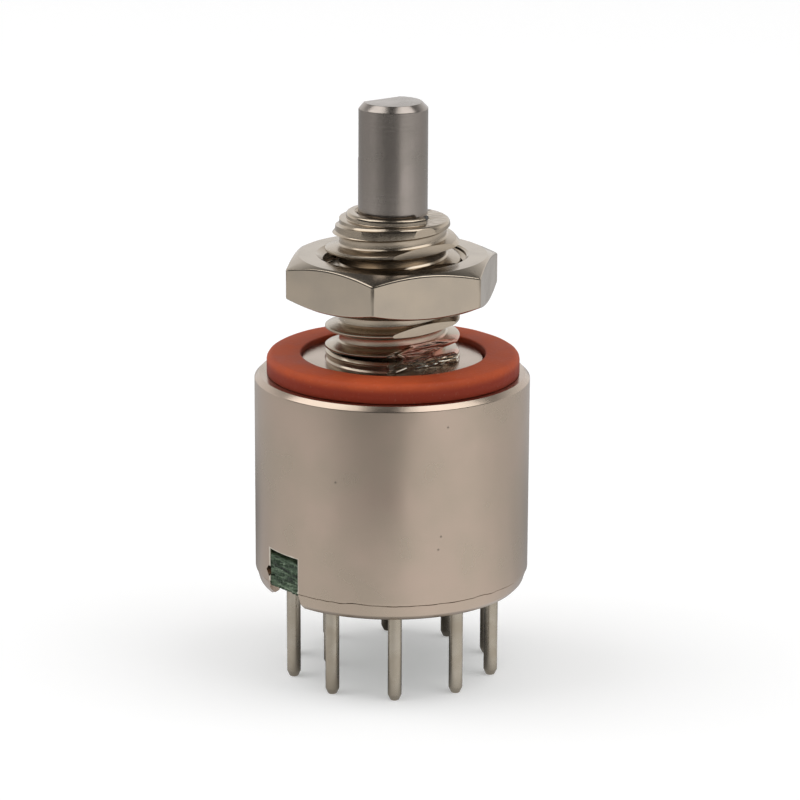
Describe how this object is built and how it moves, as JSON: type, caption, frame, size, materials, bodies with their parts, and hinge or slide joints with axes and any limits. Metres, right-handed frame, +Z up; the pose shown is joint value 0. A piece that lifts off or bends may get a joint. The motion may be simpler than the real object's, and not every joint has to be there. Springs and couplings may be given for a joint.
{
  "type": "rotary selector switch",
  "caption": "Miniature sealed rotary switch with a round metal can, threaded panel bushing with hex nut, panel seal, flatted shaft and a circle of board pins.",
  "frame": {"origin": "on the shaft's axis, level with the tips of the board pins", "axes": "+Z runs up the shaft; +X is the way that the flat of the threaded bushing faces, over the first board pin; the locating notch in the can's lip faces -Y"},
  "size_m": [0.0126, 0.0126, 0.0269],
  "materials": {
    "nickel_plate": "satin nickel plate on turned brass",
    "nut_plate": "bright nickel plate on brass",
    "shaft_steel": "turned stainless steel with fine rings",
    "silicone": "matt orange silicone",
    "black_rubber": "matt",
    "bronze": "rolled bronze",
    "ring_steel": "satin",
    "spring_wire": "drawn wire",
    "ball_steel": "polished",
    "black_plastic": "moulded",
    "green_plastic": "rough mineral-filled moulding",
    "contact_plate": "silver plate",
    "pin_plate": "tin plate"
  },
  "bodies": {
    "switch_body": {"housing": "nickel_plate", "panel_seal": "silicone", "thrust_washer": "bronze", "detent_ring": "ring_steel", "stop_pin": "ring_steel", "base": "green_plastic", "common_ring": "contact_plate", "common_terminal": "pin_plate", "terminal_01": "pin_plate", "terminal_02": "pin_plate", "terminal_03": "pin_plate", "terminal_04": "pin_plate", "terminal_05": "pin_plate", "terminal_06": "pin_plate", "terminal_07": "pin_plate", "terminal_08": "pin_plate", "terminal_09": "pin_plate", "terminal_10": "pin_plate"},
    "rotor": {"shaft": "shaft_steel", "shaft_seal": "black_rubber", "detent_spring": "spring_wire", "detent_ball_front": "ball_steel", "detent_ball_back": "ball_steel", "stop_arm": "ring_steel", "contact_rotor": "black_plastic", "contact_spring": "spring_wire", "sliding_contact": "bronze"},
    "nut": {"hex_nut": "nut_plate"}
  },
  "joints": [
    {"name": "shaft_turn", "type": "hinge", "parent": "switch_body", "child": "rotor", "pos_m": [0, 0, 0.02185], "axis": [0, 0, -1], "range_deg": [0, 324]},
    {"name": "nut_travel", "type": "slide", "parent": "switch_body", "child": "nut", "axis": [0, 0, 1], "range_m": [-0.0025, 0.0092]}
  ]
}
